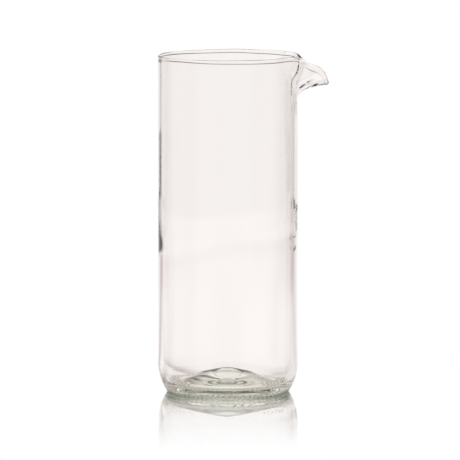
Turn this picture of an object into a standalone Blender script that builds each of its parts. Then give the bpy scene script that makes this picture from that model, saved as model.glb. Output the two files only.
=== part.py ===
"""Mixing glass: one piece of bottle glass, cut to a straight tumbler, fire-polished at the rim and drawn out
into a pouring spout. Metres, +Z up, standing on z = 0, with the spout towards +X.

The glass is one closed skin of rings. Each ring is one step along its section, which runs from the middle
of the underside out over the standing ring, up the outside, round the rim, down the inside and back to the
middle of the floor. Near the spout the top of the wall is bent outwards, column by column.
"""

import math

import bmesh
import bpy
import numpy as np
from mathutils import Vector

MM = 0.001

# Overall sizes
OUTER_RADIUS = 38.0 * MM
HEIGHT = 184.0 * MM

# Wall: thicker below the settle wave that the bottle mould leaves, thinner above it
UPPER_WALL = 2.0 * MM
LOWER_WALL = 2.7 * MM
WAVE_HEIGHT = 88.0 * MM
WAVE_SPAN = 24.0 * MM

# Heel and standing ring: the wall leans in to a small rounded corner, and the ring is the flat inside it
HEEL_HEIGHT = 15.5 * MM
HEEL_INSET = 4.6 * MM
CORNER_RADIUS = 0.9 * MM
RING_WIDTH = 3.0 * MM

# Base: a shallow push-up in the underside, with a round mould mark in its middle, under a bell-shaped floor
# with a low nub on its top and a gutter round its foot
PUSH_UP_DEPTH = 3.2 * MM
BASE_THICKNESS = 10.2 * MM
NUB_RADIUS = 5.4 * MM
NUB_HEIGHT = 0.9 * MM
GUTTER_THICKNESS = 5.0 * MM
GUTTER_INSET = 7.0 * MM
INNER_HEEL_HEIGHT = 18.0 * MM
MARK_RADIUS = 5.5 * MM
MARK_DEPTH = 0.6 * MM
MARK_EDGE = 0.9 * MM

# Spout: how far it reaches past the wall, how far its tip drops below the rim, how far down the wall it
# starts in the middle and at its sides, and half the width of rim that it takes up
SPOUT_REACH = 16.3 * MM
SPOUT_DROP = 14.2 * MM
SPOUT_ROOT = 23.4 * MM
SPOUT_SHOULDER = 12.0 * MM
SPOUT_HALF_MOUTH = 20.0 * MM
TIP_RISE = math.radians(8)
SIDES_UPRIGHT_FROM = 0.45
ROOT_HANDLE = 5.0 * MM
LIP_HANDLE = 9.0 * MM
SIDE_LEAN = 0.25

# The edge of the spout from its tip to the rim, as shares of its reach, half mouth and drop
LIP_OUTLINE = (
    (1.000, 0.000, 1.00),
    (0.975, 0.130, 0.93),
    (0.895, 0.235, 0.70),
    (0.730, 0.305, 0.53),
    (0.420, 0.360, 0.38),
    (0.245, 0.390, 0.23),
    (0.150, 0.445, 0.14),
    (0.080, 0.550, 0.07),
    (-0.070, 0.745, 0.01),
)

# Facets
SPOUT_COLUMNS = 28
WALL_COLUMNS = 48
SPOUT_ROWS = 9
RIM_ROWS = 4
BEND_ROWS = 6
DOME_ROWS = 7
NUB_ROWS = 3

# What follows from the sizes above
MIDDLE_RADIUS = OUTER_RADIUS - UPPER_WALL / 2
RIM_TOP = HEIGHT - UPPER_WALL / 2
CORNER_OUTER = OUTER_RADIUS - HEEL_INSET
RING_OUTER = CORNER_OUTER - CORNER_RADIUS
RING_INNER = RING_OUTER - RING_WIDTH
MOUTH_ANGLE = math.asin(SPOUT_HALF_MOUTH / MIDDLE_RADIUS)
GLASS_COLOUR = (0.90, 0.95, 0.90, 1.0)


def bezier(start, start_handle, end_handle, end, steps):
    """Points of a cubic curve after its start, up to and including its end."""
    start, start_handle, end_handle, end = map(np.array, (start, start_handle, end_handle, end))
    points = []
    for step in range(1, steps + 1):
        t = step / steps
        u = 1 - t
        points.append(u**3 * start + 3 * u * u * t * start_handle + 3 * u * t * t * end_handle + t**3 * end)
    return points


def spline_through(knots, points, start_slope, end_slope):
    """A smooth curve through points at knots, with the given slopes at its two ends."""
    knots, points = np.array(knots), np.array(points)
    count = len(knots)
    matrix, wanted = np.zeros((count, count)), np.zeros((count, 3))
    gaps = np.diff(knots)
    matrix[0, 0] = matrix[-1, -1] = 1
    wanted[0], wanted[-1] = start_slope, end_slope
    for i in range(1, count - 1):
        before, after = gaps[i - 1], gaps[i]
        matrix[i, i - 1 : i + 2] = after, 2 * (before + after), before
        rise_before = (points[i] - points[i - 1]) / before
        rise_after = (points[i + 1] - points[i]) / after
        wanted[i] = 3 * (after * rise_before + before * rise_after)
    slopes = np.linalg.solve(matrix, wanted)

    def curve(at):
        i = int(np.clip(np.searchsorted(knots, at) - 1, 0, count - 2))
        t = (at - knots[i]) / gaps[i]
        return (
            (1 + 2 * t) * (1 - t) ** 2 * points[i]
            + t * (1 - t) ** 2 * gaps[i] * slopes[i]
            + t * t * (3 - 2 * t) * points[i + 1]
            + t * t * (t - 1) * gaps[i] * slopes[i + 1]
        )

    return curve


def smooth_step(share):
    share = min(max(share, 0.0), 1.0)
    return share * share * (3 - 2 * share)


def spout_lip():
    """The spout's edge in the middle of the glass, over shares -1 to 1 of the mouth angle."""
    reach = SPOUT_REACH + OUTER_RADIUS - UPPER_WALL / 2 - MIDDLE_RADIUS
    half = [
        (MIDDLE_RADIUS + out * reach, across * SPOUT_HALF_MOUTH, RIM_TOP - down * SPOUT_DROP)
        for out, across, down in LIP_OUTLINE
    ]
    half.append(
        (MIDDLE_RADIUS * math.cos(MOUTH_ANGLE), MIDDLE_RADIUS * math.sin(MOUTH_ANGLE), RIM_TOP)
    )
    lengths = np.linalg.norm(np.diff(np.array(half), axis=0), axis=1)
    shares = np.concatenate([[0], np.cumsum(lengths) / lengths.sum()])
    points = [(x, -y, z) for x, y, z in reversed(half[1:])] + half
    knots = [*(-shares[:0:-1]), *shares]
    # The rim's own direction at the two corners of the mouth
    along_rim = MIDDLE_RADIUS * MOUTH_ANGLE * np.array([math.sin(MOUTH_ANGLE), math.cos(MOUTH_ANGLE), 0])
    return spline_through(knots, points, along_rim, along_rim * (-1, 1, 1))


LIP = spout_lip()


def wall_column(angle, share):
    """The middle of the glass at an angle round the wall, from share 0 where bending may start to 1 at the rim."""
    side = angle / MOUTH_ANGLE
    away = min(abs(side), 1.0)
    root_drop = SPOUT_SHOULDER + (SPOUT_ROOT - SPOUT_SHOULDER) * math.cos(away * math.pi / 2) ** 2
    x, y = MIDDLE_RADIUS * math.cos(angle), MIDDLE_RADIUS * math.sin(angle)
    root = np.array([x, y, HEIGHT - root_drop])
    if away >= 1:
        return root + share * np.array([0, 0, RIM_TOP - root[2]])
    lip = LIP(side)
    rise = TIP_RISE + (math.pi / 2 - TIP_RISE) * smooth_step(away / SIDES_UPRIGHT_FROM)
    lean = SIDE_LEAN * math.sin(math.pi * side) * math.cos(away * math.pi / 2)
    heading = np.array([math.cos(rise), lean, math.sin(rise)])
    heading /= np.linalg.norm(heading)
    u = 1 - share
    return (
        u**3 * root
        + 3 * u * u * share * (root + np.array([0, 0, ROOT_HANDLE]))
        + 3 * u * share * share * (lip - LIP_HANDLE * heading)
        + share**3 * lip
    )


def wall_frame(angle, share):
    """The middle of the glass, the direction out of the wall and the direction up it."""
    turn, step = 1e-4, 1e-3
    low, high = max(share - step, 0), min(share + step, 1)
    along = wall_column(angle, high) - wall_column(angle, low)
    across = wall_column(angle + turn, share) - wall_column(angle - turn, share)
    out = np.cross(across, along)
    return wall_column(angle, share), out / np.linalg.norm(out), along / np.linalg.norm(along)


def column_angles():
    """Angles round the glass, close together across the spout."""
    spout = np.linspace(-MOUTH_ANGLE, MOUTH_ANGLE, SPOUT_COLUMNS + 1)
    wall = np.linspace(MOUTH_ANGLE, 2 * math.pi - MOUTH_ANGLE, WALL_COLUMNS + 1)
    return [*spout, *wall[1:-1]]


def underside_section():
    """(radius, height) from beside the middle of the underside out to the top of the heel."""
    mark_top = PUSH_UP_DEPTH
    section = [
        (MARK_RADIUS, mark_top - MARK_DEPTH),
        (MARK_RADIUS + MARK_EDGE, mark_top - MARK_DEPTH / 4),
    ]
    push_up = bezier(
        section[-1],
        (RING_INNER * 0.5, section[-1][1]),
        (RING_INNER * 0.9, PUSH_UP_DEPTH * 0.35),
        (RING_INNER, 0),
        DOME_ROWS,
    )
    corner = bezier(
        (RING_OUTER, 0),
        (RING_OUTER + CORNER_RADIUS * 0.6, 0),
        (CORNER_OUTER - CORNER_RADIUS * 0.2, CORNER_RADIUS * 0.5),
        (CORNER_OUTER, CORNER_RADIUS),
        BEND_ROWS // 2,
    )
    heel = bezier(
        corner[-1],
        (CORNER_OUTER + HEEL_INSET * 0.42, HEEL_HEIGHT * 0.19),
        (OUTER_RADIUS - HEEL_INSET * 0.06, HEEL_HEIGHT * 0.53),
        (OUTER_RADIUS, HEEL_HEIGHT),
        BEND_ROWS,
    )
    return [*section, *push_up, (RING_OUTER, 0), *corner, *heel]


def inside_section():
    """(radius, height) from under the bent part of the wall down to beside the middle of the floor."""
    upper, lower = OUTER_RADIUS - UPPER_WALL, OUTER_RADIUS - LOWER_WALL
    wave = bezier(
        (upper, WAVE_HEIGHT + WAVE_SPAN / 2),
        (upper, WAVE_HEIGHT),
        (lower, WAVE_HEIGHT),
        (lower, WAVE_HEIGHT - WAVE_SPAN / 2),
        BEND_ROWS // 2,
    )
    gutter = (OUTER_RADIUS - GUTTER_INSET, GUTTER_THICKNESS)
    floor_top = PUSH_UP_DEPTH + BASE_THICKNESS
    heel = bezier(
        (lower, INNER_HEEL_HEIGHT),
        (lower, INNER_HEEL_HEIGHT * 0.45),
        (gutter[0] + (lower - gutter[0]) * 0.4, gutter[1]),
        gutter,
        BEND_ROWS,
    )
    nub_foot = floor_top - NUB_HEIGHT
    rise = nub_foot - gutter[1]
    dome = bezier(
        gutter,
        (gutter[0] * 0.72, gutter[1] + rise * 0.20),
        (gutter[0] * 0.42, nub_foot - rise * 0.24),
        (NUB_RADIUS, nub_foot),
        DOME_ROWS,
    )
    nub = bezier(
        (NUB_RADIUS, nub_foot),
        (NUB_RADIUS * 0.7, nub_foot),
        (NUB_RADIUS * 0.75, floor_top),
        (0, floor_top),
        NUB_ROWS,
    )
    wall = [(upper, WAVE_HEIGHT + WAVE_SPAN / 2), *wave, (lower, INNER_HEEL_HEIGHT)]
    return [*wall, *heel, *dome, *nub[:-1]]


def rings_of_glass(angles):
    """Every ring of the skin, from the underside round the rim to the floor."""

    def turned(section):
        return [[(r * math.cos(a), r * math.sin(a), z) for a in angles] for r, z in section]

    half = UPPER_WALL / 2
    outside, rim, inside = [], [], []
    for row in range(SPOUT_ROWS):
        frames = [wall_frame(a, row / SPOUT_ROWS) for a in angles]
        outside.append([middle + out * half for middle, out, _ in frames])
        inside.append([middle - out * half for middle, out, _ in frames])
    ends = [wall_frame(a, 1.0) for a in angles]
    for row in range(RIM_ROWS + 1):
        turn = math.pi * row / RIM_ROWS
        rim.append([m + half * (math.cos(turn) * out + math.sin(turn) * up) for m, out, up in ends])
    return [*turned(underside_section()), *outside, *rim, *reversed(inside), *turned(inside_section())]


def glass_mesh():
    bm = bmesh.new()
    rings = [[bm.verts.new(point) for point in ring] for ring in rings_of_glass(column_angles())]
    for ring, following in zip(rings, rings[1:]):
        for i in range(len(ring)):
            j = (i + 1) % len(ring)
            bm.faces.new((ring[i], ring[j], following[j], following[i]))
    for ring, height in (
        (rings[0], PUSH_UP_DEPTH - MARK_DEPTH),
        (list(reversed(rings[-1])), PUSH_UP_DEPTH + BASE_THICKNESS),
    ):
        middle = bm.verts.new((0, 0, height))
        for i in range(len(ring)):
            bm.faces.new((ring[(i + 1) % len(ring)], ring[i], middle))
    bmesh.ops.recalc_face_normals(bm, faces=bm.faces)
    mesh = bpy.data.meshes.new("glass_body")
    bm.to_mesh(mesh)
    bm.free()
    mesh.shade_smooth()
    mesh.set_sharp_from_angle(angle=math.radians(50))
    return mesh


def clear_glass():
    material = bpy.data.materials.new("clear_glass")
    material.use_nodes = True
    shader = material.node_tree.nodes["Principled BSDF"]
    shader.inputs["Base Color"].default_value = GLASS_COLOUR
    shader.inputs["Roughness"].default_value = 0.02
    shader.inputs["Metallic"].default_value = 0.0
    shader.inputs["Transmission Weight"].default_value = 1.0
    shader.inputs["IOR"].default_value = 1.52
    return material


def main():
    for obj in list(bpy.data.objects):
        bpy.data.objects.remove(obj)
    glass = bpy.data.objects.new("glass_body", glass_mesh())
    bpy.context.scene.collection.objects.link(glass)
    glass.data.materials.append(clear_glass())
    # The frame's origin is on the table under the middle of the glass and its spout
    xs = [vertex.co.x for vertex in glass.data.vertices]
    glass.location = Vector((-(min(xs) + max(xs)) / 2, 0, 0))


main()
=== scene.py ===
import math

import bpy
import numpy as np
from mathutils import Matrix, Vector, noise


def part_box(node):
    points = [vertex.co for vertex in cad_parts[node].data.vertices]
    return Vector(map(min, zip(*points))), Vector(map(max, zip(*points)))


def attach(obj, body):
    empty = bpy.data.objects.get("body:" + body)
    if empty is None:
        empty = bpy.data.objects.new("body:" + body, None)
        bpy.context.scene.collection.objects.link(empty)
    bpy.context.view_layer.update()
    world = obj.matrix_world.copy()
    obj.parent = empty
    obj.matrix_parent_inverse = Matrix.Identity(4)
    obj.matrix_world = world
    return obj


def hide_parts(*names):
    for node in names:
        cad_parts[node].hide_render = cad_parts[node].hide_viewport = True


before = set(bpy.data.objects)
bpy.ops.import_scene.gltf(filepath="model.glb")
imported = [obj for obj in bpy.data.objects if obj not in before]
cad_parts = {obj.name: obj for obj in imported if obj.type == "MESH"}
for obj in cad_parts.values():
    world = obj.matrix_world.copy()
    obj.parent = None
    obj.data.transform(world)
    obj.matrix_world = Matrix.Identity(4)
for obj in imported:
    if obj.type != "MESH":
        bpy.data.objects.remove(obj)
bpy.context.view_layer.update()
low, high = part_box("glass_body")

# Lengths of the glass are in millimetres from its own axis, and become the frame's metres in glassMesh.
# Those of the table, light, camera and material are in metres.
mm = 0.001
outerRadius = (high.y - low.y) / 2 / mm
height = high.z / mm
axisX = low.x / mm + outerRadius
spoutReach = high.x / mm - axisX - outerRadius
print(f"frame: glass {2 * outerRadius:.1f} mm across and {height:.1f} mm high, spout {spoutReach:.1f} mm")

mesh = {
    "columns": 432,  # round the glass: six to each knurl
    "pushUpRows": 14,
    "markRows": 5,
    "cornerRows": 6,
    "heelRows": 34,
    "outerRows": 14,
    "outerCrowding": 1.8,  # above 1 the outer rows gather below the spout
    "innerRows": 40,
    "spoutRows": 24,
    "spoutCrowding": 1.5,  # above 1 the rows gather at the rim
    "rootCrowding": 2.5,
    "spoutSamples": 121,
    "rimRows": 8,
    "innerHeelRows": 20,
    "domeRows": 18,
    "nubRows": 6,
}


def bezier(start, startHandle, endHandle, end, steps):
    # the points after start, up to and including end
    points = (start, startHandle, endHandle, end)
    start, startHandle, endHandle, end = (np.array(point, float) for point in points)
    t = (np.arange(1, steps + 1) / steps)[:, None]
    u = 1 - t
    return u**3 * start + 3 * u * u * t * startHandle + 3 * u * t * t * endHandle + t**3 * end


def smooth(share):
    share = np.clip(share, 0, 1)
    return share * share * (3 - 2 * share)


def bump(value, centre, width):
    return np.exp(-(((value - centre) / width) ** 2))


def turnFrom(angle, centre):
    # how far an angle is from another, in degrees, the short way round
    return (np.degrees(angle) - centre + 180) % 360 - 180


wall = {
    "upper": 2.0,
    "lower": 2.7,
    "settleHeight": 88.0,  # the bottle mould leaves the wall thicker below this
    "settleSpan": 24.0,
    "settleTilt": 5.0,
    "settleWave": 2.0,  # up and down by this, so many times round the glass
    "settleWaves": 3,
    "upperDrift": 0.70,  # the bottle was blown off centre: thicker on the spout's side
    "lowerDrift": 0.35,
    "ridge": 0.30,  # a low ridge inside, just under the settle
    "ridgeHalf": 4.0,
    "ripple": 0.07,
    # soft unevenness: share of the ripple, how busy it is round the glass, its length up the wall, seed
    "ripples": [(1.0, 2.6, 55, 3.7), (0.4, 8.0, 120, 9.1)],
    "calmBelowRim": 6.0,  # ripples and streaks fade out over this
    "bead": 0.17,  # how far the flame swells the rim, each side
    "beadTall": 0.6,
    "beadEdge": 0.6,
    "pinch": 0.07,
    "rimWave": 0.50,
    "rimWaveBusy": 2.2,
    "rimWaveSeed": 5.5,
    "rimTilt": 0.2,  # share of the wave: the rim is lower by this on the spout's side
}

spout = {
    "drop": 14.2,
    "root": 23.4,
    "shoulder": 12.0,
    "halfMouth": 20.0,
    "tipRise": 8.0,
    "uprightFrom": 0.45,
    "rootHandle": 5.0,
    "lipHandle": 9.0,
    "lean": 0.25,
    # the edge from tip to rim, as shares of reach, half mouth and drop
    "outline": [
        (1.000, 0.000, 1.00),
        (0.975, 0.130, 0.93),
        (0.895, 0.235, 0.70),
        (0.730, 0.305, 0.53),
        (0.420, 0.360, 0.38),
        (0.245, 0.390, 0.23),
        (0.150, 0.445, 0.14),
        (0.080, 0.550, 0.07),
        (-0.070, 0.745, 0.01),
    ],
}

middleRadius = outerRadius - wall["upper"] / 2
rimTop = height - wall["upper"] / 2
mouthAngle = math.asin(spout["halfMouth"] / middleRadius)
angles = 2 * math.pi * np.arange(mesh["columns"]) / mesh["columns"]


def splineThrough(knots, points, startSlope, endSlope):
    # a smooth curve through the points, with a set slope at each end
    knots, points = np.array(knots), np.array(points)
    count, gaps = len(knots), np.diff(knots)[:, None]
    matrix, wanted = np.zeros((count, count)), np.zeros((count, 3))
    matrix[0, 0] = matrix[-1, -1] = 1
    wanted[0], wanted[-1] = startSlope, endSlope
    rises = np.diff(points, axis=0) / gaps
    for i in range(1, count - 1):
        before, after = gaps[i - 1, 0], gaps[i, 0]
        matrix[i, i - 1 : i + 2] = after, 2 * (before + after), before
        wanted[i] = 3 * (after * rises[i - 1] + before * rises[i])
    slopes = np.linalg.solve(matrix, wanted)

    def curve(at):
        i = np.clip(np.searchsorted(knots, at) - 1, 0, count - 2)
        t = ((at - knots[i]) / gaps[i, 0])[:, None]
        start = (1 + 2 * t) * (1 - t) ** 2 * points[i] + t * (1 - t) ** 2 * gaps[i] * slopes[i]
        return start + t * t * (3 - 2 * t) * points[i + 1] + t * t * (t - 1) * gaps[i] * slopes[i + 1]

    return curve


def spoutLip():
    half = [
        (middleRadius + out * spoutReach, across * spout["halfMouth"], rimTop - down * spout["drop"])
        for out, across, down in spout["outline"]
    ]
    half.append((middleRadius * math.cos(mouthAngle), middleRadius * math.sin(mouthAngle), rimTop))
    lengths = np.linalg.norm(np.diff(np.array(half), axis=0), axis=1)
    shares = np.concatenate([[0], np.cumsum(lengths) / lengths.sum()])
    points = [(x, -y, z) for x, y, z in reversed(half[1:])] + half
    alongRim = middleRadius * mouthAngle * np.array([math.sin(mouthAngle), math.cos(mouthAngle), 0])
    return splineThrough([*(-shares[:0:-1]), *shares], points, alongRim, alongRim * (-1, 1, 1))


lipCurve = spoutLip()


def acrossMouth(turn):
    # -1 and 1 at the ends of the spout's mouth, 0 in its middle, and how far from the middle, at most 1
    side = ((turn + math.pi) % (2 * math.pi) - math.pi) / mouthAngle
    return side, np.clip(np.abs(side), 0, 1)


def rootDrop(turn):
    away = acrossMouth(turn)[1]
    return spout["shoulder"] + (spout["root"] - spout["shoulder"]) * np.cos(away * math.pi / 2) ** 2


def wallMiddle(turn, share):
    # the middle of the glass: share 0 is where bending may start, 1 is the rim
    share = np.broadcast_to(share, turn.shape)[:, None]
    side, away = acrossMouth(turn)
    x, y = middleRadius * np.cos(turn), middleRadius * np.sin(turn)
    root = np.stack([x, y, height - rootDrop(turn)], axis=1)
    rim = root * (1, 1, 0) + np.array([0, 0, rimTop])
    lip = np.where((away < 1)[:, None], lipCurve(np.clip(side, -1, 1)), rim)
    tipRise = math.radians(spout["tipRise"])
    rise = tipRise + (math.pi / 2 - tipRise) * smooth(away / spout["uprightFrom"])
    lean = spout["lean"] * np.sin(math.pi * side) * np.cos(away * math.pi / 2)
    heading = np.stack([np.cos(rise), lean, np.sin(rise)], axis=1)
    heading /= np.linalg.norm(heading, axis=1)[:, None]
    up = np.array([0, 0, 1.0])
    u = 1 - share
    bent = u**3 * root + 3 * u * u * share * (root + spout["rootHandle"] * up)
    bent = bent + 3 * u * share * share * (lip - spout["lipHandle"] * heading) + share**3 * lip
    return np.where((away < 1)[:, None], bent, root + share * (rim - root))


def wallFrame(share):
    # the middle of the glass, the way out of it and the way up it, for every column
    tiny, step = 1e-3, 2e-3
    bottom, top = np.maximum(share - step, 0), np.minimum(share + step, 1)
    along = wallMiddle(angles, top) - wallMiddle(angles, bottom)
    across = wallMiddle(angles + tiny, share) - wallMiddle(angles - tiny, share)
    out = np.cross(across, along)
    out /= np.linalg.norm(out, axis=1)[:, None]
    return wallMiddle(angles, share), out, along / np.linalg.norm(along, axis=1)[:, None]


def rowsBelowRim():
    # for each row from the root up: the share in every column, and how far down the glass it is
    fine = np.linspace(1, 0, mesh["spoutSamples"])
    points = np.array([wallMiddle(angles, share) for share in fine])
    downTo = np.cumsum(np.linalg.norm(np.diff(points, axis=0), axis=2), axis=0)
    downTo = np.concatenate([np.zeros((1, len(angles))), downTo])
    rows = []
    for row in range(mesh["spoutRows"] + 1):
        part = (1 - row / mesh["spoutRows"]) ** mesh["spoutCrowding"]
        below = spout["shoulder"] * part + (downTo[-1] - spout["shoulder"]) * part ** mesh["rootCrowding"]
        share = np.array([np.interp(b, column, fine) for b, column in zip(below, downTo.T)])
        rows.append((share, below))
    return rows


def gentleNoise(turn, z, busyRound, upScale, seed):
    return np.array([
        noise.noise(Vector((math.cos(a) * busyRound, math.sin(a) * busyRound, h / upScale + seed)))
        for a, h in zip(turn, z)
    ])


# Streaks drawn down the wall by the spout's pull, with a thick fold beside it and a thick web under it:
# angle, width in degrees, how much thinner (below zero, thicker), height, half length
cords = [
    (-11, 1.8, 0.12, 168, 10),
    (-16, 1.8, -0.07, 165, 11),
    (-20, 1.6, -0.50, 173, 9),
    (0, 6.0, -0.30, 172, 9),
    (-28, 2.2, -0.06, 165, 10),
    (-35, 2.6, 0.05, 158, 16),
    (13, 2.0, 0.09, 166, 12),
    (20, 2.2, -0.06, 164, 12),
    (29, 2.6, 0.05, 160, 14),
]


def wallThickness(z):
    settle = wall["settleHeight"] + wall["settleTilt"] * np.cos(angles)
    settle = settle + wall["settleWave"] * np.sin(angles * wall["settleWaves"])
    share = smooth((settle - z) / wall["settleSpan"] + 0.5)
    thick = wall["upper"] + (wall["lower"] - wall["upper"]) * share
    thick += (wall["upperDrift"] + (wall["lowerDrift"] - wall["upperDrift"]) * share) * np.cos(angles)
    thick += wall["ridge"] * bump(z, settle - wall["ridgeHalf"], wall["ridgeHalf"])
    ripple = 0
    for part, busyRound, upScale, seed in wall["ripples"]:
        ripple = ripple + wall["ripple"] * part * gentleNoise(angles, z, busyRound, upScale, seed)
    for angle, width, thinner, middle, half in cords:
        ripple -= thinner * bump(turnFrom(angles, angle), 0, width) * bump(z, middle, half)
    return thick + ripple * smooth((rimTop - z) / wall["calmBelowRim"])


def ring(radius, z):
    # one ring of points, where radius or z may differ from column to column
    radius, z = np.broadcast_to(radius, angles.shape), np.broadcast_to(z, angles.shape)
    return np.stack([radius * np.cos(angles), radius * np.sin(angles), z], axis=1)


def sunk(rings, depth):
    # rings moved along their own inward normal by depth, one row of depths for each ring
    rings = np.array(rings)
    along = np.gradient(rings, axis=0)
    across = np.roll(rings, -1, axis=1) - np.roll(rings, 1, axis=1)
    out = np.cross(across, along)
    length = np.linalg.norm(out, axis=2, keepdims=True)
    return rings - out / np.maximum(length, 1e-9) * np.array(depth)[:, :, None]


base = {
    "heelHeight": 15.5,
    "heelInset": 4.6,
    "heelLower": (0.42, 0.19),  # handles of the heel's curve: shares of its inset and height
    "heelUpper": (0.06, 0.53),
    "corner": 0.9,
    "cornerHandles": (0.6, 0.2, 0.5),  # the corner under the heel: shares of its size
    "ringWidth": 3.0,
    "ringRows": (0.15, 0.35, 0.6, 0.85, 1.0),
    "pushUp": 3.2,
    "pushUpCrown": 0.5,  # handles of the push-up's curve: shares of the ring's radius
    "pushUpFoot": (0.9, 0.35),  # and of the push-up's height
    "thickness": 10.2,
    "gutter": 5.0,
    "gutterInset": 7.0,
    "innerHeelHeight": 18.0,
    "innerHeelHandles": (0.45, 0.4),
    # handles of the floor's bell: shares of the gutter's radius and of the bell's rise
    "bellFoot": (0.72, 0.20),
    "bellFlank": (0.42, 0.24),
    "nubRadius": 5.4,
    "nub": 0.9,
    "nubHandles": (0.7, 0.75),
    "markRadius": 5.5,
    "markDepth": 0.6,
    "markEdge": 0.9,
    "markRings": (0.12, 0.4, 0.7, 0.92),
}

knurl = {
    "count": 72,
    "depth": 0.7,
    "land": 0.45,  # share of each pitch that stands on the table
    "start": 0.4,  # they begin this far out from the ring's inner edge
    "startFade": 0.8,
    "top": 1.4,
    "topFade": 1.2,
}

pips = {
    "height": 0.30,
    "square": 4,  # 2 is round, more is squarer
    # plain pips and bars that a bottle mould leaves round the heel:
    # first angle, step, how many, height, size, bar's length as a share of the pip's
    "groups": [
        (124, 5.0, 5, 8.4, 0.55, 1.6),
        (46, 4.6, 2, 8.2, 0.50, 1.0),
        (46, 4.6, 2, 6.0, 0.50, 1.0),
        (-58, 4.4, 6, 8.2, 0.60, 1.8),
        (-146, 5.2, 5, 8.0, 0.55, 1.4),
    ],
}

cornerOuter = outerRadius - base["heelInset"]
ringOuter = cornerOuter - base["corner"]
ringInner = ringOuter - base["ringWidth"]


def underside():
    # from beside the middle of the mould mark out to the ring
    inner, top, half = base["markRadius"], base["pushUp"], base["markEdge"] * 0.5
    floor = top - base["markDepth"]
    edge = (inner + base["markEdge"], top - base["markDepth"] / 4)
    flat = [(inner * share, floor) for share in base["markRings"]]
    step = bezier(
        (inner, floor), (inner + half, floor), (edge[0] - half, edge[1]), edge, mesh["markRows"]
    )
    footOut, footUp = base["pushUpFoot"]
    crown = (ringInner * base["pushUpCrown"], edge[1])
    pushUp = bezier(edge, crown, (ringInner * footOut, top * footUp), (ringInner, 0), mesh["pushUpRows"])
    return [*flat, (inner, floor), *step, *pushUp]


def heel():
    # from the ring out and up to where the wall is straight
    flat = [(ringInner + base["ringWidth"] * share, 0) for share in base["ringRows"]]
    flatter, inward, upward = base["cornerHandles"]
    corner = bezier(
        (ringOuter, 0),
        (ringOuter + base["corner"] * flatter, 0),
        (cornerOuter - base["corner"] * inward, base["corner"] * upward),
        (cornerOuter, base["corner"]),
        mesh["cornerRows"],
    )
    (lowerOut, lowerUp), (upperIn, upperUp) = base["heelLower"], base["heelUpper"]
    rise = bezier(
        corner[-1],
        (cornerOuter + base["heelInset"] * lowerOut, base["heelHeight"] * lowerUp),
        (outerRadius - base["heelInset"] * upperIn, base["heelHeight"] * upperUp),
        (outerRadius, base["heelHeight"]),
        mesh["heelRows"],
    )
    return [*flat, *corner, *rise]


def heelRings():
    # the heel with its knurls and pips
    section = heel()
    rings = [ring(r, z) for r, z in section]
    pitch = (angles * knurl["count"] / (2 * math.pi)) % 1
    groove = smooth((np.abs(pitch - 0.5) * 2 - knurl["land"]) / (1 - knurl["land"]) * 2)
    depth = []
    for r, z in section:
        begun = smooth((r - ringInner - knurl["start"]) / knurl["startFade"])
        row = knurl["depth"] * (begun * (1 - smooth((z - knurl["top"]) / knurl["topFade"]))) * groove
        for first, step, count, at, size, bar in pips["groups"]:
            for k in range(count):
                across = turnFrom(angles, first + k * step) * math.pi / 180 * outerRadius
                tall = size * (bar if k % 2 else 1)
                shape = -((across / size) ** pips["square"]) - ((z - at) / tall) ** pips["square"]
                row = row - pips["height"] * np.exp(shape)
        depth.append(row)
    return list(sunk(rings, depth))


def insideFloor():
    # from below the top of the inner heel down, and over the bell to beside the middle of its nub
    lower = outerRadius - wall["lower"]
    gutter = (outerRadius - base["gutterInset"], base["gutter"])
    top = base["pushUp"] + base["thickness"]
    start = (lower, base["innerHeelHeight"])
    downward, outward = base["innerHeelHandles"]
    bend = bezier(
        start,
        (lower, base["innerHeelHeight"] * downward),
        (gutter[0] + (lower - gutter[0]) * outward, gutter[1]),
        gutter,
        mesh["innerHeelRows"],
    )
    foot = top - base["nub"]
    (footOut, footUp), (flankOut, flankDown) = base["bellFoot"], base["bellFlank"]
    side = (gutter[0] * footOut, gutter[1] + (foot - gutter[1]) * footUp)
    flank = (gutter[0] * flankOut, foot - (foot - gutter[1]) * flankDown)
    dome = bezier(gutter, side, flank, (base["nubRadius"], foot), mesh["domeRows"])
    atFoot, atTop = (base["nubRadius"] * share for share in base["nubHandles"])
    nub = bezier(dome[-1], (atFoot, foot), (atTop, top), (0, top), mesh["nubRows"])
    return [*bend, *dome, *nub[:-1]], top


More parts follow.
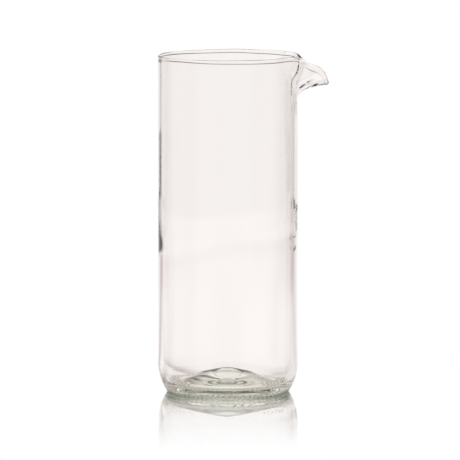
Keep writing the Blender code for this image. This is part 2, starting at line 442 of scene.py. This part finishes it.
def glassRings():
    # every ring, from the middle of the underside out, up, over the rim and down to the floor's middle
    rootZ = height - rootDrop(angles)
    outside = [ring(r, z) for r, z in underside()]
    outside += heelRings()
    steps = 1 - (1 - np.arange(1, mesh["outerRows"]) / mesh["outerRows"]) ** mesh["outerCrowding"]
    outside += [ring(outerRadius, base["heelHeight"] + s * (rootZ - base["heelHeight"])) for s in steps]
    rim, inside = [], []
    half = wall["upper"] / 2
    wave = gentleNoise(angles, angles * 0, wall["rimWaveBusy"], 1, wall["rimWaveSeed"])
    wave = wall["rimWave"] * (wave - wall["rimTilt"] * np.cos(angles))
    for row, (share, below) in enumerate(rowsBelowRim()):
        middle, out, up = wallFrame(share)
        sag = wave * (1 - smooth(below / spout["shoulder"]))
        middle = middle + np.stack([sag * 0, sag * 0, sag], axis=1)
        swell = wall["bead"] * smooth((wall["beadTall"] + wall["beadEdge"] / 2 - below) / wall["beadEdge"])
        swell -= wall["pinch"] * bump(below, wall["beadTall"] + wall["beadEdge"], wall["beadEdge"])
        swell = swell[:, None]
        thick = wallThickness(middle[:, 2])[:, None]
        if row < mesh["spoutRows"]:
            outside.append(middle + out * (half + swell))
            inside.append(middle + out * (half - thick - swell))
            continue
        centre, radius = middle + out * (half - thick / 2), thick / 2 + swell
        for turn in np.linspace(0, math.pi, mesh["rimRows"] + 1):
            rim.append(centre + radius * (math.cos(turn) * out + math.sin(turn) * up))
    inside.reverse()
    floor, floorTop = insideFloor()
    start = base["innerHeelHeight"]
    steps = np.arange(1, mesh["innerRows"]) / mesh["innerRows"]
    for s in steps[::-1]:
        z = start + s * (rootZ - start)
        inside.append(ring(outerRadius - wallThickness(z), z))
    foot = wallThickness(np.full(angles.shape, start)) - wall["lower"]
    for r, z in [(outerRadius - wall["lower"], start), *floor]:
        fade = smooth((z - base["gutter"]) / (start - base["gutter"]))
        inside.append(ring(r - foot * fade, z))
    return outside + rim + inside, base["pushUp"] - base["markDepth"], floorTop


def glassMesh():
    rings, under, floorTop = glassRings()
    count, columns = len(rings), mesh["columns"]
    points = np.concatenate([*rings, [[0, 0, under]], [[0, 0, floorTop]]])
    rows = np.arange(count - 1)[:, None] * columns
    here = np.arange(columns)[None, :]
    after = (here + 1) % columns
    quads = np.stack([rows + here, rows + after, rows + columns + after, rows + columns + here], axis=2)
    first, last = count * columns, count * columns + 1
    ends = (count - 1) * columns
    fans = [(first, (i + 1) % columns, i) for i in range(columns)]
    fans += [(last, ends + i, ends + (i + 1) % columns) for i in range(columns)]
    data = bpy.data.meshes.new("mixingGlass")
    points = (points + np.array([axisX, 0, 0])) * mm
    data.from_pydata(points.tolist(), [], quads.reshape(-1, 4).tolist() + fans)
    data.validate()
    data.shade_smooth()
    return data


class Wire:
    # one output of a node, with the arithmetic that the materials here use

    def __init__(self, tree, socket=None):
        self.tree, self.socket = tree, socket

    def node(self, kind, settings, sockets, take=0):
        # a ramp's stops are given with the first and the last before those between
        made = self.tree.nodes.new(kind)
        for key, value in settings.items():
            if key == "stops":
                ramp = made.color_ramp
                for place, shade in value[2:]:
                    ramp.elements.new(place).color = shade
                for element, (place, shade) in zip((ramp.elements[0], ramp.elements[-1]), value[:2]):
                    element.position, element.color = place, shade
            else:
                setattr(made, key, value)
        for key, value in sockets.items():
            if isinstance(value, Wire):
                self.tree.links.new(value.socket, made.inputs[key])
            else:
                made.inputs[key].default_value = value
        return Wire(self.tree, made.outputs[take]) if len(made.outputs) else None

    def math(self, operation, *values):
        return self.node("ShaderNodeMath", {"operation": operation}, dict(enumerate(values)))

    def __add__(self, other):
        return self.math("ADD", self, other)

    def __radd__(self, other):
        return self.math("ADD", other, self)

    def __sub__(self, other):
        return self.math("SUBTRACT", self, other)

    def __rsub__(self, other):
        return self.math("SUBTRACT", other, self)

    def __mul__(self, other):
        return self.math("MULTIPLY", self, other)

    def __rmul__(self, other):
        return self.math("MULTIPLY", other, self)

    def __truediv__(self, other):
        return self.math("DIVIDE", self, other)

    def __rtruediv__(self, other):
        return self.math("DIVIDE", other, self)

    def step(self, start, end):
        # 0 up to start, 1 from end, soft between
        return self.node(
            "ShaderNodeMapRange",
            {"interpolation_type": "SMOOTHSTEP"},
            {"Value": self, "From Min": start, "From Max": end, "To Min": 0.0, "To Max": 1.0},
        )

    def mixed(self, first, second, share):
        # the first colour at share 0, the second at 1: a mix of colours has them in sockets 6 and 7
        return self.node("ShaderNodeMix", {"data_type": "RGBA"}, {0: share, 6: first, 7: second}, take=2)

    def between(self, low, high, soft):
        # 1 from low to high, fading over soft on either side
        return self.step(low - soft, low) * (1 - self.step(high, high + soft))


def newTree(owner):
    owner.use_nodes = True
    owner.node_tree.nodes.clear()
    return Wire(owner.node_tree)


flint = {
    "wallTint": (0.998, 0.996, 0.994, 1),
    "baseTint": (0.985, 0.985, 0.970, 1),
    "tintTurns": (0.006, 0.020),  # heights between which the base's tint gives way to the wall's
    "absorb": (0.66, 0.74, 0.50, 1),
    "absorbDensity": 5.5,
    "ior": 1.52,
    "grain": 0.00004,  # how deep the drawn surface is
    "grainScale": 90.0,
    "grainDetail": 2.0,
    "grainDraw": (1.0, 1.0, 0.25),  # drawn out up the wall
    "polish": 0.006,
    "wear": 0.006,
    "wearScale": 300.0,
    "wearDetail": 3.0,
    "scuff": 0.3,  # where the ring stands on the table
    "scuffFades": (0.0002, 0.0015),
}


def flintGlass():
    material = bpy.data.materials.new("flintGlass")
    tree = newTree(material)
    place = tree.node("ShaderNodeNewGeometry", {}, {})
    up = tree.node("ShaderNodeSeparateXYZ", {}, {0: place}, take=2)
    tint = tree.mixed(flint["baseTint"], flint["wallTint"], up.step(*flint["tintTurns"]))
    coords = tree.node("ShaderNodeMapping", {}, {0: place, "Scale": flint["grainDraw"]})
    grain = tree.node(
        "ShaderNodeTexNoise",
        {},
        {"Vector": coords, "Scale": flint["grainScale"], "Detail": flint["grainDetail"]},
    )
    relief = tree.node(
        "ShaderNodeBump", {}, {"Strength": 1.0, "Distance": flint["grain"], "Height": grain}
    )
    wear = tree.node(
        "ShaderNodeTexNoise",
        {},
        {"Vector": place, "Scale": flint["wearScale"], "Detail": flint["wearDetail"]},
    )
    standing = 1 - up.step(*flint["scuffFades"])
    rough = flint["polish"] + wear * flint["wear"] + standing * flint["scuff"]
    shader = tree.node(
        "ShaderNodeBsdfPrincipled",
        {},
        {
            "Base Color": tint,
            "Roughness": rough,
            "IOR": flint["ior"],
            "Transmission Weight": 1.0,
            "Normal": relief,
        },
    )
    inside = tree.node(
        "ShaderNodeVolumeAbsorption", {}, {"Color": flint["absorb"], "Density": flint["absorbDensity"]}
    )
    tree.node("ShaderNodeOutputMaterial", {}, {"Surface": shader, "Volume": inside})
    return material


studio = {
    "white": (1.0, 1.0, 1.0, 1),
    "paper": (1.0, 0.953, 0.955, 1),
    "room": (0.957, 0.922, 0.908, 1),  # past the paper's edge
    "paperEdge": 0.68,
    "paperFade": 0.12,
    "shadeTone": (0.30, 0.21, 0.20),  # what the paper falls towards at its sides
    "dark": (0.10, 0.075, 0.065, 1),
    "softbox": (0.95, 0.93, 0.90, 1),
    "softboxFrom": (0.50, 0.60),  # sines of the height where the softbox begins
    "firstMirror": (2.2, 2.8),  # mirrored rays see plain white up to this depth, and the room after it
}

# How bright the surroundings are, by compass: degrees from +X towards +Y, brightness
nearCompass = [
    (-180, 0.98), (-165, 0.85), (-120, 0.80), (-95, 0.72), (-85, 0.64), (-76, 0.66), (-66, 0.85),
    (-56, 1.0), (-34, 1.0), (-25, 0.90), (-18, 0.62), (-8, 0.55), (0, 0.75), (45, 0.80), (53, 0.62),
    (57, 0.56), (62, 0.80), (67, 0.93), (74, 0.97), (84, 1.0), (96, 0.98), (101, 0.97), (106, 0.94),
    (111, 0.87), (116, 0.66), (121, 0.42), (125, 0.50), (129, 0.95), (143, 0.98), (150, 0.85),
    (160, 0.66), (166, 0.50), (171, 0.62), (180, 0.98),
]
farCompass = [
    (-180, 1.0), (-172, 1.0), (-166, 0.90), (-157, 0.70), (-148, 0.50), (-138, 0.75), (-100, 0.75),
    (-75, 0.75), (-50, 0.75), (-30, 0.65), (-15, 0.40), (0, 0.22), (28, 0.22), (42, 0.32), (50, 0.50),
    (55, 0.48), (59, 0.66), (64, 0.86), (70, 0.95), (77, 0.985), (84, 1.0), (94, 0.985), (98, 0.95),
    (105, 0.90), (111, 0.80), (116, 0.60), (120, 0.36), (126, 0.36), (131, 0.80), (138, 0.85),
    (145, 0.60), (150, 0.50), (157, 0.70), (165, 0.90), (172, 1.0), (180, 1.0),
]

# The dark band above the surroundings: sine of the height, how dark
skyDark = [(0.0, 0.0), (0.16, 0.0), (0.21, 0.55), (0.27, 0.97), (0.46, 0.97), (0.52, 0.45), (0.57, 0.0)]

# Clear stretches through that band, for looks from each side: compass from, to, soft edge
clearings = [(124, 146, 9), (304, 326, 9)]


def around(tree, x, y):
    # the compass as a share from 0 at -180 degrees to 1 at 180
    return tree.math("ARCTAN2", y, x) / (2 * math.pi) + 0.5


def colourRamp(tree, stops, along):
    # a colour ramp, with its stops in their own order
    return tree.node("ShaderNodeValToRGB", {"stops": [stops[0], stops[-1], *stops[1:-1]]}, {0: along})


def shadeAround(tree, turn, compass, colour):
    # two ramps, because one holds too few stops for the whole way round
    stops = []
    for angle, bright in compass:
        shade = [bright * c + (1 - bright) * t for c, t in zip(colour, studio["shadeTone"])]
        stops.append(((angle + 180) / 360, [*shade, 1]))
    half = len(stops) // 2
    first, second = stops[: half + 1], stops[half:]
    ramps = [colourRamp(tree, part, turn) for part in (first, second)]
    return tree.mixed(*ramps, tree.math("GREATER_THAN", turn, second[0][0]))


def makeWorld():
    world = bpy.data.worlds.new("studio")
    bpy.context.scene.world = world
    tree = newTree(world)
    direction = tree.node("ShaderNodeTexCoord", {}, {})
    x, y, z = (tree.node("ShaderNodeSeparateXYZ", {}, {0: direction}, take=i) for i in range(3))
    turn = around(tree, x, y)
    shade = shadeAround(tree, turn, farCompass, studio["room"])
    shade = tree.mixed(shade, studio["softbox"], z.step(*studio["softboxFrom"]))
    dark = colourRamp(tree, [(sine, (share, share, share, 1)) for sine, share in skyDark], z)
    for start, end, soft in clearings:
        start, end = ((angle / 360 + 0.5) % 1 for angle in (start, end))
        dark = dark * (1 - turn.between(start, end, soft / 360))
    shade = tree.mixed(shade, studio["dark"], dark)
    # straight on, and in the first mirrored look, the room is plain white
    direct, singular, depth = (
        tree.node("ShaderNodeLightPath", {}, {}, take=name)
        for name in ("Is Camera Ray", "Is Singular Ray", "Ray Depth")
    )
    mirrored = singular * (1 - depth.step(*studio["firstMirror"]))
    plain = tree.math("MAXIMUM", direct, mirrored)
    shade = tree.mixed(shade, studio["white"], plain)
    glow = tree.node("ShaderNodeBackground", {}, {"Color": shade, "Strength": 1.0})
    tree.node("ShaderNodeOutputWorld", {}, {"Surface": glow})


table = {
    "radius": 6.0,
    "sides": 96,
    "below": 0.0001,
    "mirror": 0.92,
    "mirrorFades": (0.030, 0.235),
    "nearToFar": (0.35, 0.60),  # where one compass gives way to the other
    # painted dark cards: dark patches painted into the table's glow round the glass, for rays other than
    # the camera's: compass from, to, distance from, to, how dark
    "paintedDarkCards": [(110, 127, 1.02, 1.42, 0.90), (54, 65, 0.80, 0.92, 0.95)],
    "cardSoft": (0.008, 0.06),  # of a turn, and of the distance
    "under": (0.60, 0.57, 0.52, 1),  # shadow under the ring
    "underMiddle": (1.0, 0.96, 0.93, 1),
    "middleFades": (0.014, 0.030),
    "underFades": (0.032, 0.044),
    # colour, share and edges of the painted contact shadow, a soft dark patch painted onto the table
    # beside the heel
    "paintedContactShadow": (0.16, 0.18, 0.15, 1),
    "paintedShadowShare": 0.6,
    "paintedShadowBegins": (0.004, 0.030),
    "paintedShadowEnds": (0.0315, 0.0345),
    "paintedShadowFades": (0.038, 0.051),
}


def makeTable():
    bpy.ops.mesh.primitive_circle_add(vertices=table["sides"], radius=table["radius"], fill_type="NGON")
    top = bpy.context.active_object
    top.name = "table"
    top.location = (axisX * mm, 0, -table["below"])
    material = bpy.data.materials.new("whiteTable")
    top.data.materials.append(material)
    tree = newTree(material)
    place = tree.node("ShaderNodeTexCoord", {}, {}, take="Object")
    x, y = (tree.node("ShaderNodeSeparateXYZ", {}, {0: place}, take=i) for i in range(2))
    away = tree.math("SQRT", x * x + y * y)
    turn = around(tree, x, y)
    near = shadeAround(tree, turn, nearCompass, studio["paper"])
    paper = shadeAround(tree, turn, farCompass, studio["paper"])
    room = shadeAround(tree, turn, farCompass, studio["room"])
    edge, fade = studio["paperEdge"], studio["paperFade"]
    shade = tree.mixed(near, paper, away.step(*table["nearToFar"]))
    shade = tree.mixed(shade, room, away.step(edge - fade, edge + fade))
    softTurn, softAway = table["cardSoft"]
    # paints each dark card as a darker patch into the table's glow
    for start, end, nearest, furthest, strength in table["paintedDarkCards"]:
        paintedCard = turn.between((start + 180) / 360, (end + 180) / 360, softTurn)
        paintedCard = paintedCard * away.between(nearest, furthest, softAway)
        shade = tree.mixed(shade, studio["dark"], paintedCard * strength)
    under = tree.mixed(table["underMiddle"], table["under"], away.step(*table["middleFades"]))
    shade = tree.mixed(under, shade, away.step(*table["underFades"]))
    # the table glows instead of being lit: plain white where the camera looks, and for every other ray
    # painted shade by compass, painted dark cards and the painted shadow under the ring
    seen = tree.node("ShaderNodeLightPath", {}, {})
    plain = tree.node(
        "ShaderNodeEmission", {}, {"Color": tree.mixed(shade, studio["white"], seen), "Strength": 1.0}
    )
    gloss = tree.node("ShaderNodeBsdfGlossy", {}, {"Color": (1, 1, 1, 1), "Roughness": 0.0})
    share = (1 - away.step(*table["mirrorFades"])) * table["mirror"] * seen
    surface = tree.node("ShaderNodeMixShader", {}, {0: share, 1: plain, 2: gloss})
    # a painted contact shadow: a soft dark patch to each side, where the heel hangs over the table,
    # painted over the table and its mirror where the camera sees it
    aside = tree.math("ABSOLUTE", x)
    paintedContactShadow = aside.step(*table["paintedShadowBegins"]) * (1 - aside.step(*table["paintedShadowEnds"]))
    paintedContactShadow = paintedContactShadow * (1 - away.step(*table["paintedShadowFades"]))
    paintedShadow = tree.node("ShaderNodeEmission", {}, {"Color": table["paintedContactShadow"], "Strength": 1.0})
    share = paintedContactShadow * table["paintedShadowShare"] * seen
    surface = tree.node("ShaderNodeMixShader", {}, {0: share, 1: surface, 2: paintedShadow})
    tree.node("ShaderNodeOutputMaterial", {}, {"Surface": surface})


view = {
    "distance": 3.6,
    "rise": 6.5,  # degrees above the level
    "wide": 0.2506,  # how much it takes in at the glass
    "sensor": 36,
    "aside": 0.0011,
    "aimHeight": 0.0883,
    "clipEnd": 30,
    "bounces": 48,
    "glossyBounces": 24,
}


def makeCamera():
    scene = bpy.context.scene
    camera = bpy.data.objects.new("camera", bpy.data.cameras.new("camera"))
    scene.collection.objects.link(camera)
    scene.camera = camera
    distance, rise = view["distance"], math.radians(view["rise"])
    camera.data.sensor_width = view["sensor"]
    camera.data.lens = view["sensor"] * distance / view["wide"]
    aim = Vector((axisX * mm + view["aside"], 0, view["aimHeight"]))
    back = Vector((0, -math.cos(rise), math.sin(rise)))
    camera.location = aim + back * distance
    camera.rotation_euler = (-back).to_track_quat("-Z", "Y").to_euler()
    camera.data.clip_end = view["clipEnd"]
    scene.view_settings.view_transform = "Standard"
    scene.cycles.max_bounces = view["bounces"]
    scene.cycles.transmission_bounces = view["bounces"]
    scene.cycles.glossy_bounces = view["glossyBounces"]


glass = bpy.data.objects.new("mixing_glass", glassMesh())
bpy.context.scene.collection.objects.link(glass)
print("glass:", len(glass.data.polygons), "faces")

glass.data.materials.append(flintGlass())
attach(glass, "root")
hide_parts("glass_body")
print("glass: has its material, body and slot")

makeWorld()
print("studio: light is in place")

makeTable()
print("table: in place")

makeCamera()
print("camera: in place")
